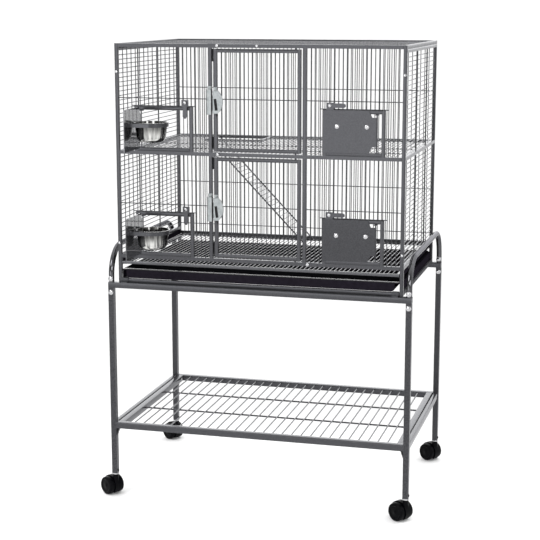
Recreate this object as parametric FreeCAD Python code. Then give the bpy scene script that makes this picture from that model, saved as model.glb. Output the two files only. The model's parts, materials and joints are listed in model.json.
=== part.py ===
import FreeCAD, Part
import math
import os
from FreeCAD import Vector

# Wire cage: two levels over a tray bay, all from one square tube
cage_width = 813.0
cage_depth = 533.0
level_height = 293.5
tray_bay_height = 70.0
frame_tube = 10.0
back_rail_drop = 14.0

# Grille wires and the stiffer rods behind them
wire_size = 2.5
wire_pitch = 12.3
support_rod = 4.0
cross_wire_rise = 145.0
back_low_wire_rise = 11.0

# Stand, legs and storage shelf
stand_side_overhang = 26.5
stand_end_overhang = 16.0
leg_size = 16.0
leg_length = 548.0
stand_rail_height = 16.0
stand_rail_depth = 20.0
u_tube_size = 16.0
u_tube_rise = 99.0
u_bend_radius = 80.0
u_side_rod = 9.0
u_side_rod_rise = 27.0
tube_sides = 12
storage_shelf_height = 201.5
storage_rail = 18.0
storage_stretcher = 12.0
storage_rail_gap = 4.0
storage_wire = 4.0
storage_cross_wire = 5.0
storage_pitch = 27.5
gusset_width = 8.0
gusset_drop = 22.0
clip_width = 17.0
clip_sheet = 2.0
clip_hook = 8.0
clip_foot_gap = 1.5

# Twin wheel casters
caster_height = 66.0
wheel_diameter = 52.0
wheel_width = 16.0
wheel_side_gap = 0.4
hood_radius = 29.0
hood_width = 17.0
hood_floor_gap = 6.0
caster_trail = 18.0
caster_heading = -33.0
caster_stem = 10.0
caster_stem_length = 36.0
stem_end_gap = 2.0
caster_boss = 16.0
collar_diameter = 20.0
collar_height = 4.0
wheel_axle = 6.0

# Swinging doors in the front
door_opening = 265.0
door_side_gap = 5.5
door_end_gap = 3.0
door_pin = 5.0
door_pin_inset = 15.0
door_pin_depth = 4.5
door_stop_height = 34.0
door_stop_lap = 8.0
sheet = 2.0

# Feeder frames and their swinging plates
feeder_width = 169.0
feeder_height = 123.0
feeder_hinge_inset = 11.7
feeder_standoff = 2.5
feeder_plate_lap = 1.5
feeder_plate_top_gap = 0.5
feeder_plate_edge = 2.2
feeder_corner_run = 24.0
feeder_corner_slant = 9.0
feeder_corner_rise = 18.0
feeder_rod = 4.0
feeder_ear_width = 8.0
feeder_ear_sheet = 3.0
feeder_open_angle = 88.5

# Bowls and the rings that carry them
bowl_radius = 48.0
bowl_rim = 3.5
bowl_depth = 54.0
bowl_wall = 1.2
bowl_belly_radius = 40.0
bowl_belly_height = 16.0
bowl_base_radius = 26.0
bowl_sides = 32
bowl_from_pivot = 67.6
bowl_from_plate = 49.5
ring_height = 10.5
ring_bar = 2.5
ring_side_gap = 0.5
ring_centre_height = 79.0
ring_bolt_spacing = 81.0
ring_bolt_head = 11.0

# Turning tabs and small hardware
tab_width = 12.0
door_tab_length = 24.0
door_tab_set = 1.0
grate_tab_length = 22.0
feeder_tab_length = 38.0
tab_gap = 0.2
tab_bolt = 5.0
tab_bolt_head = 10.0
tab_bolt_head_height = 3.0
lug_width = 20.0
lug_rise = 19.0
lug_seat = 3.0
lug_bolt_rise = 11.5
panel_bolt_head = 7.0
panel_bolt_rise = 36.5
panel_bolt_drop = 72.5
shelf_bolt_inset = 25.0
stand_bolt_head = 13.0
stand_bolt_height = 3.5
stand_bolt_drop = 13.0
bolt_head_height = 2.5

# Door latches
latch_drop = 4.0
latch_cover_width = 27.0
latch_cover_height = 62.0
latch_cover_depth = 8.0
latch_sheet = 1.5
latch_keeper_height = 68.0
latch_keeper_gap = 5.0
latch_ear_height = 9.0
latch_pivot = 4.0
latch_pivot_inset = 6.0
latch_pivot_rise = 12.0
latch_slot_width = 8.0
latch_slot_length = 32.0
latch_slot_drop = 3.0
latch_slot_lean = 2.0
latch_lever_sheet = 2.5
latch_lever_width = 8.0
latch_lever_length = 56.0
latch_lever_point = 16.0
latch_lever_head = 6.0
latch_lever_lean = 5.0
latch_catch_gap = 0.4
latch_catch_drop = 38.0
latch_catch_slope = 2.5

# Grate, tray, shelf and ramp inside the cage
grate_bar = 8.0
grate_runner_rise = 50.0
grate_front_set = 0.5
slide_gap = 1.5
tray_height = 25.0
tray_wall = 3.0
tray_corner = 10.0
tray_lip = 13.5
tray_floor_gap = 2.0
runner_sheet = 2.0
runner_reach = 12.0
runner_set = 4.0
shelf_bar = 8.0
shelf_gap = 1.0
shelf_ledge = 14.0
ledge_end_gap = 50.0
ramp_opening_left = -266.0
ramp_opening_width = 163.0
ramp_opening_depth = 112.0
ramp_angle = 46.0
ramp_rail = 3.5
ramp_side_gap = 2.0
ramp_eye = 9.0
ramp_eye_gap = 1.0
ramp_rod = 4.0
ramp_rung = 1.6
ramp_rung_pitch = 14.0

# Fits
running_gap = 0.05
seat_gap = 0.2
cut_margin = 1.0

# Stand outline and heights worked out from the stack, floor at zero
stand_width = cage_width + 2 * stand_side_overhang
stand_depth = cage_depth + 2 * stand_end_overhang
leg_top = caster_height + leg_length
cage_bottom = leg_top + stand_rail_height
base_rail = cage_bottom + frame_tube / 2
base_top = cage_bottom + frame_tube
lower_rail = base_rail + tray_bay_height
mid_rail = lower_rail + level_height
top_rail = mid_rail + level_height
cage_top = top_rail + frame_tube / 2
level_clear = level_height - frame_tube
lower_floor = lower_rail + frame_tube / 2
upper_floor = mid_rail + frame_tube / 2
back_rail = lower_rail - back_rail_drop
tray_bottom = base_top + tray_floor_gap
tray_top = tray_bottom + tray_height
grate_bottom = cage_bottom + grate_runner_rise + runner_sheet
grate_top = grate_bottom + grate_bar

# Plan lines worked out from the cage outline
front = -cage_depth / 2
front_mid = front + frame_tube / 2
front_inner = front + frame_tube
back_inner = -front_inner
post_x = cage_width / 2 - frame_tube / 2
post_inner = cage_width / 2 - frame_tube
door_post_x = door_opening / 2
door_half = door_post_x - frame_tube / 2 - door_side_gap
door_pin_x = door_half - door_pin_inset
feeder_centre = (door_post_x + frame_tube / 2 + post_inner) / 2
feeder_near = feeder_centre - feeder_width / 2
feeder_far = feeder_centre + feeder_width / 2
pivot_x = feeder_far - frame_tube - feeder_hinge_inset
pivot_y = front - feeder_standoff
leg_x = stand_width / 2 - leg_size / 2
leg_y = stand_depth / 2 - leg_size / 2
slide_back = back_inner - slide_gap
shelf_half_x = post_inner - sheet - shelf_gap
ramp_hole_back = slide_back - shelf_bar
ramp_hole_front = ramp_hole_back - ramp_opening_depth
ramp_hinge_x = ramp_opening_left + ramp_eye / 2 + ramp_eye_gap

# Points on the face behind each turning tab of the doors and the grate
door_tab_x = -door_half + frame_tube + door_tab_set
upper_door_bolt = Vector(door_tab_x, front, top_rail)
lower_door_bolt = Vector(door_tab_x, front, mid_rail)
grate_bolt = Vector(door_post_x + frame_tube, front, lower_rail)

RIGHT = Vector(1, 0, 0)
BACK = Vector(0, 1, 0)
FORWARD = Vector(0, -1, 0)
UP = Vector(0, 0, 1)
ORIGIN = Vector(0, 0, 0)


def block(x, y, z):
    """Rectangular solid between the low and high limits on each axis."""
    return Part.makeBox(x[1] - x[0], y[1] - y[0], z[1] - z[0], Vector(x[0], y[0], z[0]))


def across(x0, x1, y, z, size):
    """Square bar running left to right."""
    half = size / 2
    return block((x0, x1), (y - half, y + half), (z - half, z + half))


def deep(x, y0, y1, z, size):
    """Square bar running front to back."""
    half = size / 2
    return block((x - half, x + half), (y0, y1), (z - half, z + half))


def upright(x, y, z0, z1, size):
    """Square bar running up."""
    half = size / 2
    return block((x - half, x + half), (y - half, y + half), (z0, z1))


def spread(low, high, pitch):
    """Even positions between two bars, close to the wanted pitch."""
    gaps = max(2, round((high - low) / pitch))
    return [low + (high - low) * i / gaps for i in range(1, gaps)]


def rod(start, direction, length, diameter):
    """Round rod from a start point."""
    return Part.makeCylinder(diameter / 2, length, start, direction)


def through_hole(centre, direction, depth, diameter):
    """Cutter for a running hole, longer than the material at both ends."""
    start = centre - direction * cut_margin
    return rod(start, direction, depth + 2 * cut_margin, diameter + 2 * running_gap)


def outlined(points):
    """Flat face with straight edges."""
    return Part.Face(Part.makePolygon(points + [points[0]]))


def extruded(points, travel):
    """Flat outline of straight edges pushed along a vector."""
    return outlined(points).extrude(travel)


def flat_rim(centre, direction, across_flats, sides):
    """Corners of an even-sided outline whose flats lie at the given width."""
    turn = FreeCAD.Rotation(UP, direction)
    reach = across_flats / 2 / math.cos(math.pi / sides)
    rim = []
    for i in range(sides):
        angle = 2 * math.pi * (i + 0.5) / sides
        rim.append(centre + turn.multVec(Vector(math.cos(angle), math.sin(angle), 0) * reach))
    return rim


def hex_head(centre, direction, size, height):
    """Six-sided bolt head standing on a face."""
    return extruded(flat_rim(centre, direction, size, 6), direction * height)


def mirrored(shape):
    """Left-hand copy of a right-hand shape."""
    return shape.mirror(ORIGIN, RIGHT)


def moved(shape, x, y, z):
    copy = shape.copy()
    copy.translate(Vector(x, y, z))
    return copy


def save(name, solids):
    Part.makeCompound(solids).exportStep("parts/" + name + ".step")


def pin_bore(z):
    """Vertical hole for a door pin through a rail."""
    return through_hole(Vector(door_pin_x, front_mid, z - frame_tube / 2), UP, frame_tube, door_pin)


def feeder_frame(floor):
    """Tube frame round one right-hand feeder opening, with hinge ears and tab lug."""
    top = floor + feeder_height
    near = feeder_near + frame_tube
    far = feeder_far - frame_tube
    parts = [
        upright(feeder_near + frame_tube / 2, front_mid, floor, top, frame_tube),
        upright(feeder_far - frame_tube / 2, front_mid, floor, top, frame_tube),
        across(near, far, front_mid, floor + frame_tube / 2, frame_tube),
        across(near, far, front_mid, top - frame_tube / 2, frame_tube),
    ]
    for z in (floor + frame_tube, top - frame_tube - feeder_ear_sheet):
        parts.append(hinge_ear(z))
    parts.append(tab_lug(top))
    return parts


def hinge_ear(z):
    """Flat ear on a feeder rail, bored for the plate's rod."""
    half = feeder_ear_width / 2
    ear = block((pivot_x - half, pivot_x + half), (pivot_y - half, front_inner), (z, z + feeder_ear_sheet))
    return ear.cut(through_hole(Vector(pivot_x, pivot_y, z), UP, feeder_ear_sheet, feeder_rod))


def tab_lug(top):
    """Folded lug on the feeder's top rail that carries the turning tab."""
    x = feeder_near + frame_tube
    face = pivot_y - sheet
    back = front + lug_seat
    outline = [
        Vector(x, face, top),
        Vector(x, back, top),
        Vector(x, back, top + sheet),
        Vector(x, face + sheet, top + sheet),
        Vector(x, face + sheet, top + lug_rise),
        Vector(x, face, top + lug_rise),
    ]
    return extruded(outline, RIGHT * lug_width)


def column_wires(floor):
    """Grille of one right-hand front column round its feeder."""
    inner = door_post_x + frame_tube / 2
    ceiling = floor + level_clear
    top = floor + feeder_height
    parts = []
    beside = []
    for x in spread(inner, post_inner, wire_pitch):
        clear = x < feeder_near - wire_size or x > feeder_far + wire_size
        start = floor if clear else top + wire_size
        parts.append(upright(x, front_mid, start, ceiling, wire_size))
        if clear:
            beside.append(x)
    left = max(x for x in beside if x < feeder_centre) + wire_size / 2
    right = min(x for x in beside if x > feeder_centre) - wire_size / 2
    parts.append(across(left, right, front_mid, top + wire_size / 2, wire_size))
    parts.append(across(inner, post_inner, front_mid + wire_size, floor + cross_wire_rise, wire_size))
    return parts


def door_stop(z0):
    """Small plate behind the left door post that the stile closes on."""
    left = -door_post_x + frame_tube / 2 - door_stop_lap
    right = -door_half + door_stop_lap
    return block((left, right), (front_inner, front_inner + sheet), (z0, z0 + door_stop_height))


def front_panel():
    """Welded front: posts, rails, door posts, feeder frames and grille."""
    parts = [across(-post_inner, post_inner, front_mid, base_rail, frame_tube)]
    for side in (-1, 1):
        parts.append(upright(side * post_x, front_mid, cage_bottom, cage_top, frame_tube))
    for z in (lower_rail, mid_rail, top_rail):
        parts.append(across(-post_inner, post_inner, front_mid, z, frame_tube).cut(pin_bore(z)))
    for floor in (lower_floor, upper_floor):
        ceiling = floor + level_clear
        for side in (-1, 1):
            parts.append(upright(side * door_post_x, front_mid, floor, ceiling, frame_tube))
        column = feeder_frame(floor) + column_wires(floor)
        parts += column
        parts += [mirrored(piece) for piece in column]
        parts.append(door_stop(floor + frame_tube))
        parts.append(door_stop(ceiling - door_end_gap - door_stop_height))
    return parts


def back_panel():
    """Welded back: posts, rails and two bays of upright wires."""
    y = -front_mid
    parts = []
    for side in (-1, 1):
        parts.append(upright(side * post_x, y, cage_bottom, cage_top, frame_tube))
    for z in (base_rail, back_rail, mid_rail, top_rail):
        parts.append(across(-post_inner, post_inner, y, z, frame_tube))
    for low, high in ((back_rail, mid_rail), (mid_rail, top_rail)):
        for x in spread(-post_inner, post_inner, wire_pitch):
            parts.append(upright(x, y, low + frame_tube / 2, high - frame_tube / 2, wire_size))
    for z in (lower_floor + back_low_wire_rise, lower_floor + cross_wire_rise, upper_floor + cross_wire_rise):
        parts.append(across(-post_inner, post_inner, y - wire_size, z, wire_size))
    return parts


def side_panel():
    """Welded right side: rails, level wires, two stiff rods and the shelf ledge."""
    side_top = top_rail - frame_tube
    parts = []
    for z in (base_rail, lower_rail, mid_rail, side_top):
        parts.append(deep(post_x, front_inner, back_inner, z, frame_tube))
    rod_x = post_x + (wire_size + support_rod) / 2
    for below, above in ((lower_rail, mid_rail), (mid_rail, side_top)):
        z0 = below + frame_tube / 2
        z1 = above - frame_tube / 2
        for z in spread(z0, z1, wire_pitch):
            parts.append(deep(post_x, front_inner, back_inner, z, wire_size))
        for y in spread(front_inner, back_inner, cage_depth / 3):
            parts.append(upright(rod_x, y, z0, z1, support_rod))
    parts.append(shelf_ledge_angle())
    return parts


def shelf_ledge_angle():
    """Folded ledge on the side panel's middle rail that the mid shelf lies on."""
    bottom = mid_rail - shelf_bar / 2 - sheet
    top = mid_rail + frame_tube / 2
    reach = post_inner - shelf_ledge
    y = front_inner + ledge_end_gap
    outline = [
        Vector(post_inner, y, bottom),
        Vector(reach, y, bottom),
        Vector(reach, y, bottom + sheet),
        Vector(post_inner - sheet, y, bottom + sheet),
        Vector(post_inner - sheet, y, top),
        Vector(post_inner, y, top),
    ]
    return extruded(outline, BACK * (-2 * y))


def top_panel():
    """Welded roof: two side rails, wires across and two stiff rods under them."""
    parts = []
    for side in (-1, 1):
        parts.append(deep(side * post_x, front_inner, back_inner, top_rail, frame_tube))
    for y in spread(front_inner, back_inner, wire_pitch):
        parts.append(across(-post_inner, post_inner, y, top_rail, wire_size))
    rod_z = top_rail - (wire_size + support_rod) / 2
    for x in spread(-post_inner, post_inner, cage_width / 3):
        parts.append(deep(x, front_inner, back_inner, rod_z, support_rod))
    return parts


def slide_runners():
    """Right-hand runners: a standing angle for the tray, a hung angle for the grate."""
    low = post_inner - runner_reach
    outer = post_inner + runner_set
    inner = outer - runner_sheet
    level = tray_top - tray_wall
    tray_runner = [
        Vector(inner, front_inner, base_top),
        Vector(outer, front_inner, base_top),
        Vector(outer, front_inner, level),
        Vector(low, front_inner, level),
        Vector(low, front_inner, level - runner_sheet),
        Vector(inner, front_inner, level - runner_sheet),
    ]
    under = lower_rail - frame_tube / 2
    grate_runner = [
        Vector(low, front_inner, grate_bottom - runner_sheet),
        Vector(outer, front_inner, grate_bottom - runner_sheet),
        Vector(outer, front_inner, under),
        Vector(inner, front_inner, under),
        Vector(inner, front_inner, grate_bottom),
        Vector(low, front_inner, grate_bottom),
    ]
    travel = BACK * (back_inner - front_inner)
    return [extruded(tray_runner, travel), extruded(grate_runner, travel)]


def mid_shelf():
    """Middle floor with the ramp opening and the rod the ramp hangs on."""
    z = mid_rail
    half_bar = shelf_bar / 2
    inner_x = shelf_half_x - shelf_bar
    hole_left = ramp_opening_left - shelf_bar
    hole_right = ramp_opening_left + ramp_opening_width + shelf_bar
    hole_edge = ramp_hole_front - shelf_bar
    parts = []
    for side in (-1, 1):
        parts.append(deep(side * (shelf_half_x - half_bar), -slide_back, slide_back, z, shelf_bar))
        parts.append(across(-inner_x, inner_x, side * (slide_back - half_bar), z, shelf_bar))
    parts.append(across(hole_left, hole_right, ramp_hole_front - half_bar, z, shelf_bar))
    for x in (hole_left + half_bar, hole_right - half_bar):
        parts.append(deep(x, ramp_hole_front, ramp_hole_back, z, shelf_bar))
    wire_z = z + half_bar - wire_size / 2
    for x in spread(-inner_x, inner_x, wire_pitch):
        at_hole = hole_left - wire_size / 2 < x < hole_right + wire_size / 2
        parts.append(deep(x, -ramp_hole_back, hole_edge if at_hole else ramp_hole_back, wire_z, wire_size))
    for y in spread(-ramp_hole_back, hole_edge, cage_depth / 4):
        parts.append(across(-inner_x, inner_x, y, wire_z - wire_size, wire_size))
    parts.append(rod(Vector(ramp_hinge_x, ramp_hole_front, z), BACK, ramp_opening_depth, ramp_rod))
    return parts


def ramp():
    """Two rails with eyes round the hinge rod, fine rungs, foot on the grate."""
    tilt = math.radians(ramp_angle)
    length = (mid_rail - grate_top - ramp_rail / 2 * math.cos(tilt)) / math.sin(tilt)
    rails = (ramp_hole_front + ramp_side_gap, ramp_hole_back - ramp_rail - ramp_side_gap)
    parts = []
    for y in rails:
        eye = rod(Vector(0, y, 0), BACK, ramp_rail, ramp_eye)
        bar = block((0, length), (y, y + ramp_rail), (-ramp_rail / 2, ramp_rail / 2))
        parts.append(eye.fuse(bar).cut(through_hole(Vector(0, y, 0), BACK, ramp_rail, ramp_rod)))
    top = ramp_rail / 2
    for x in spread(ramp_eye, length, ramp_rung_pitch):
        parts.append(block((x - ramp_rung / 2, x + ramp_rung / 2), (rails[0] + ramp_rail, rails[1]),
                           (top - ramp_rung, top)))
    for part in parts:
        part.rotate(ORIGIN, BACK, ramp_angle)
        part.translate(Vector(ramp_hinge_x, 0, mid_rail))
    return parts


def grate():
    """Slide-out wire floor under the lower level."""
    half_x = post_inner - slide_gap
    inner_x = half_x - grate_bar
    z = grate_bottom + grate_bar / 2
    y0 = front + grate_front_set
    low = y0 + grate_bar
    high = slide_back - grate_bar
    parts = []
    for side in (-1, 1):
        parts.append(deep(side * (half_x - grate_bar / 2), low, high, z, grate_bar))
    for y in (y0 + grate_bar / 2, slide_back - grate_bar / 2):
        parts.append(across(-half_x, half_x, y, z, grate_bar))
    wire_z = grate_top - wire_size / 2
    for x in spread(-inner_x, inner_x, wire_pitch):
        parts.append(deep(x, low, high, wire_z, wire_size))
    for y in spread(low, high, cage_depth / 3):
        parts.append(across(-inner_x, inner_x, y, wire_z - wire_size, wire_size))
    return parts


def tray():
    """Open-topped pan with round lower sides, hung on the runners by its lips."""
    half_x = post_inner - tray_lip
    y0 = front + slide_gap
    pan = block((-half_x, half_x), (y0, slide_back), (tray_bottom, tray_top))
    low_sides = [edge for edge in pan.Edges
                 if edge.BoundBox.ZMax < tray_top - tray_corner and edge.BoundBox.XLength < tray_corner]
    pan = pan.makeFillet(tray_corner, low_sides)
    well = block((-half_x + tray_wall, half_x - tray_wall), (y0 + tray_wall, slide_back - tray_wall),
                 (tray_bottom + tray_wall, tray_top + cut_margin))
    low_sides = [edge for edge in well.Edges
                 if edge.BoundBox.ZMax < tray_top - tray_corner and edge.BoundBox.XLength < tray_corner]
    pan = pan.cut(well.makeFillet(tray_corner - tray_wall, low_sides))
    lip = block((half_x, post_inner - slide_gap), (y0, slide_back), (tray_top - tray_wall, tray_top))
    return [pan.fuse([lip, mirrored(lip)]).removeSplitter()]


def door(floor):
    """Wire door with its two upright pivot pins."""
    low = floor + door_end_gap
    high = floor + level_clear - door_end_gap
    stile = door_half - frame_tube / 2
    inner = door_half - frame_tube
    parts = []
    for side in (-1, 1):
        parts.append(upright(side * stile, front_mid, low, high, frame_tube))
    for z in (low + frame_tube / 2, high - frame_tube / 2):
        parts.append(across(-inner, inner, front_mid, z, frame_tube))
    for x in spread(-inner, inner, wire_pitch):
        parts.append(upright(x, front_mid, low + frame_tube, high - frame_tube, wire_size))
    parts.append(across(-inner, inner, front_mid + wire_size, floor + cross_wire_rise, wire_size))
    reach = door_end_gap + door_pin_depth
    parts.append(rod(Vector(door_pin_x, front_mid, high), UP, reach, door_pin))
    parts.append(rod(Vector(door_pin_x, front_mid, low - reach), UP, reach, door_pin))
    return parts


def feeder_plate(floor):
    """Right-hand feeder door, shut: sheet with notched hinge corners and its hinge rod."""
    near = feeder_near
    far = pivot_x + feeder_plate_edge
    low = floor + frame_tube - feeder_plate_lap
    high = floor + feeder_height - feeder_plate_top_gap
    y = pivot_y + sheet / 2
    notch = far - feeder_corner_run
    inner = notch + feeder_corner_slant
    outline = [
        Vector(near, y, low),
        Vector(notch, y, low),
        Vector(inner, y, low + feeder_corner_rise),
        Vector(far, y, low + feeder_corner_rise),
        Vector(far, y, high - feeder_corner_rise),
        Vector(inner, y, high - feeder_corner_rise),
        Vector(notch, y, high),
        Vector(near, y, high),
    ]
    plate = extruded(outline, FORWARD * sheet)
    start = floor + frame_tube
    hinge = rod(Vector(pivot_x, pivot_y, start), UP, feeder_height - 2 * frame_tube, feeder_rod)
    return [plate.fuse(hinge).removeSplitter()]


def ring_outline(radius, y_plate, y_bowl, x_bowl, z):
    """U outline: two legs from the plate and a half circle round the bowl."""
    a = Vector(x_bowl - radius, y_plate, z)
    b = Vector(x_bowl - radius, y_bowl, z)
    c = Vector(x_bowl, y_bowl + radius, z)
    d = Vector(x_bowl + radius, y_bowl, z)
    e = Vector(x_bowl + radius, y_plate, z)
    edges = [Part.makeLine(a, b), Part.Arc(b, c, d).toShape(), Part.makeLine(d, e), Part.makeLine(e, a)]
    return Part.Face(Part.Wire(edges))


def bowl_ring(floor):
    """Flat bar bent round the bowl, feet turned in on the plate, and two bolts."""
    back = pivot_y + sheet / 2
    x = pivot_x - bowl_from_pivot
    y = back + bowl_from_plate
    z = floor + ring_centre_height - ring_height / 2
    inner = bowl_radius - bowl_rim + ring_side_gap
    band = ring_outline(inner + ring_bar, back, y, x, z).extrude(UP * ring_height)
    band = band.cut(ring_outline(inner, back + ring_bar, y, x, z).extrude(UP * ring_height))
    throat = ring_bolt_spacing / 2 - ring_height / 2
    band = band.cut(block((x - throat, x + throat), (back, back + ring_bar), (z, z + ring_height)))
    parts = [band]
    for side in (-1, 1):
        spot = Vector(x + side * ring_bolt_spacing / 2, pivot_y - sheet / 2, z + ring_height / 2)
        parts.append(hex_head(spot, FORWARD, ring_bolt_head, bolt_head_height))
    return parts


def turned(profile, sides):
    """Even-sided solid of revolution about the vertical: radius and height of each ring, ends closed."""
    rings = []
    for radius, z in profile:
        turns = [2 * math.pi * i / sides for i in range(sides)]
        rings.append([Vector(radius * math.cos(t), radius * math.sin(t), z) for t in turns])
    faces = [outlined(rings[0]), outlined(rings[-1])]
    for low, high in zip(rings, rings[1:]):
        for i in range(sides):
            faces.append(outlined([low[i - 1], low[i], high[i], high[i - 1]]))
    return Part.Solid(Part.Shell(faces))


def bowl(floor):
    """Thin steel bowl, round below, with a flat rim that lies on the ring."""
    base = floor + ring_centre_height + ring_height / 2 + bowl_wall - bowl_depth
    side = bowl_radius - bowl_rim
    profile = [
        (bowl_base_radius, 0),
        (bowl_belly_radius, bowl_belly_height),
        (side, bowl_depth - bowl_wall),
        (bowl_radius, bowl_depth - bowl_wall),
        (bowl_radius, bowl_depth),
        (side - bowl_wall, bowl_depth),
        (bowl_belly_radius - bowl_wall, bowl_belly_height),
        (bowl_base_radius - bowl_wall / 2, bowl_wall),
    ]
    return [moved(turned(profile, bowl_sides), pivot_x - bowl_from_pivot,
                  pivot_y + sheet / 2 + bowl_from_plate, base)]


def left_open(parts):
    """Mirror a right-hand feeder piece and swing it open about its hinge."""
    result = []
    for part in parts:
        copy = mirrored(part)
        copy.rotate(Vector(-pivot_x, pivot_y, 0), UP, -feeder_open_angle)
        result.append(copy)
    return result


def turn_tab(length, bolt, turn):
    """Oblong tab with cut corners, hanging from its bolt and swung aside by the given angle."""
    half = tab_width / 2
    outline = []
    for end in (0, 1):
        for i in range(4):
            angle = math.pi * (1 - end - i / 3)
            outline.append(Vector(half * math.cos(angle), 0, half * math.sin(angle) - end * length))
    shape = extruded(outline, BACK * sheet)
    shape = shape.cut(through_hole(ORIGIN, BACK, sheet, tab_bolt))
    shape.rotate(ORIGIN, BACK, turn)
    return [moved(shape, bolt.x, bolt.y - tab_gap - sheet, bolt.z)]


def tab_screw(bolt):
    """Shouldered bolt that a tab turns on; the point is on the face behind the tab."""
    shank = sheet + 2 * tab_gap
    pin = rod(bolt, FORWARD, shank, tab_bolt)
    return pin.fuse(hex_head(bolt + FORWARD * shank, FORWARD, tab_bolt_head, tab_bolt_head_height))


def feeder_tab_bolt(floor, side):
    x = side * (feeder_near + frame_tube + lug_width / 2)
    return Vector(x, pivot_y - sheet, floor + feeder_height + lug_bolt_rise)


def latch_height(floor):
    return floor + level_clear / 2 - latch_drop


def latch_keeper(floor):
    """Keeper on the left door post: a side wall, a face with an open pocket behind it, and a bolted ear."""
    low = latch_height(floor) - latch_keeper_height / 2
    top = low + latch_keeper_height
    ear_top = top + latch_ear_height
    left = -door_post_x - frame_tube / 2
    right = -door_half - latch_keeper_gap
    face = front - latch_cover_depth
    spot = Vector(-door_post_x, front - latch_sheet, top + latch_ear_height / 2)
    return [
        block((left - latch_sheet, left), (face, front_mid), (low, top)),
        block((left, right), (face, face + latch_sheet), (low, top)),
        block((left - latch_sheet, left), (front - latch_sheet, front_mid), (top, ear_top)),
        block((left, left + frame_tube), (front - latch_sheet, front), (top, ear_top)),
        hex_head(spot, FORWARD, panel_bolt_head, bolt_head_height),
    ]


def cover_outline(inset, y, z, left, low):
    """D shape: straight left side, round right side."""
    right = -door_half + latch_cover_width - inset
    top = z + latch_cover_height / 2 - inset
    shoulder = -door_half + latch_cover_width / 2
    a = Vector(left, y, top)
    b = Vector(shoulder, y, top)
    c = Vector(right, y, z)
    d = Vector(shoulder, y, low)
    e = Vector(left, y, low)
    edges = [Part.makeLine(a, b), Part.Arc(b, c, d).toShape(), Part.makeLine(d, e), Part.makeLine(e, a)]
    return Part.Face(Part.Wire(edges))


def latch_pivot_point(floor):
    return Vector(-door_half + latch_pivot_inset, front, latch_height(floor) + latch_pivot_rise)


def latch_cover(floor):
    """Pressed cover on the door stile, open to the left and below, with a slanted slot."""
    z = latch_height(floor)
    left = -door_half
    low = z - latch_cover_height / 2
    top = z + latch_cover_height / 2
    shell = cover_outline(0, front, z, left, low).extrude(FORWARD * latch_cover_depth)
    hollow = cover_outline(latch_sheet, front, z, left - cut_margin, low - cut_margin)
    shell = shell.cut(hollow.extrude(FORWARD * (latch_cover_depth - latch_sheet)))
    pivot = latch_pivot_point(floor)
    half = latch_slot_width / 2
    slot = block((-half, half), (-latch_cover_depth - cut_margin, -latch_sheet),
                 (-latch_slot_drop - latch_slot_length, -latch_slot_drop))
    slot.rotate(ORIGIN, BACK, -latch_lever_lean - latch_slot_lean)
    shell = shell.cut(moved(slot, pivot.x, front, pivot.z))
    ear = block((left, left + frame_tube), (front - latch_sheet, front),
                (top - latch_sheet, top + latch_ear_height))
    spot = Vector(left + frame_tube / 2, front - latch_sheet, top + latch_ear_height / 2)
    bolt = hex_head(spot, FORWARD, panel_bolt_head, bolt_head_height)
    pin = rod(pivot, FORWARD, latch_cover_depth - latch_sheet, latch_pivot)
    return [shell.fuse(ear).removeSplitter(), bolt, pin]


def latch_lever(floor):
    """Lever: a leaning finger with a pointed tip and the catch plate that swings behind the keeper."""
    half = latch_lever_width / 2
    catch = latch_pivot_inset + latch_keeper_gap - latch_catch_gap
    lean = math.tan(math.radians(latch_lever_lean))
    shoulder = latch_lever_length - latch_lever_point
    y = -latch_cover_depth / 2 + latch_lever_sheet / 2
    outline = [
        Vector(-catch, y, latch_lever_head),
        Vector(half, y, latch_lever_head),
        Vector(lean * shoulder + half, y, -shoulder),
        Vector(lean * latch_lever_length, y, -latch_lever_length),
        Vector(lean * shoulder - half, y, -shoulder),
        Vector(lean * latch_catch_drop - half, y, -latch_catch_drop),
        Vector(-catch, y, latch_catch_slope - latch_catch_drop),
    ]
    shape = extruded(outline, FORWARD * latch_lever_sheet)
    shape = shape.cut(through_hole(ORIGIN, FORWARD, latch_cover_depth, latch_pivot))
    pivot = latch_pivot_point(floor)
    return [moved(shape, pivot.x, front, pivot.z)]


def u_frame():
    """Right-hand bent tube over the stand's side, with its straight side rod."""
    bend_level = cage_bottom + u_tube_rise - u_bend_radius
    foot_rim = flat_rim(Vector(leg_x, -leg_y, cage_bottom), UP, u_tube_size, tube_sides)
    foot = extruded(foot_rim, UP * (bend_level - cage_bottom))
    bend_rim = flat_rim(Vector(leg_x, -leg_y, bend_level), UP, u_tube_size, tube_sides)
    centre = Vector(leg_x, -leg_y + u_bend_radius, bend_level)
    bend = outlined(bend_rim).revolve(centre, RIGHT, -90)
    half = foot.fuse(bend)
    top_rim = flat_rim(centre + UP * u_bend_radius, BACK, u_tube_size, tube_sides)
    top = extruded(top_rim, BACK * (2 * (leg_y - u_bend_radius)))
    side_rim = flat_rim(Vector(leg_x, -leg_y, cage_bottom + u_side_rod_rise), BACK, u_side_rod, tube_sides)
    side_rod = extruded(side_rim, BACK * (2 * leg_y))
    return [half.fuse([half.mirror(ORIGIN, BACK), top, side_rod]).removeSplitter()]


def stand_rail(side):
    """Flat-topped rail across the stand that carries the cage."""
    outer = side * stand_depth / 2
    inner = outer - side * stand_rail_depth
    y = (min(outer, inner), max(outer, inner))
    return [block((-stand_width / 2, stand_width / 2), y, (leg_top, cage_bottom))]


def corners():
    return [(x * leg_x, y * leg_y) for y in (-1, 1) for x in (-1, 1)]


def stand_leg(x, y):
    """Square leg with the blind bore for its caster stem."""
    leg = upright(x, y, caster_height, leg_top, leg_size)
    return leg.cut(rod(Vector(x, y, caster_height), UP, caster_stem_length + stem_end_gap,
                       caster_stem + 2 * running_gap))


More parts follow.
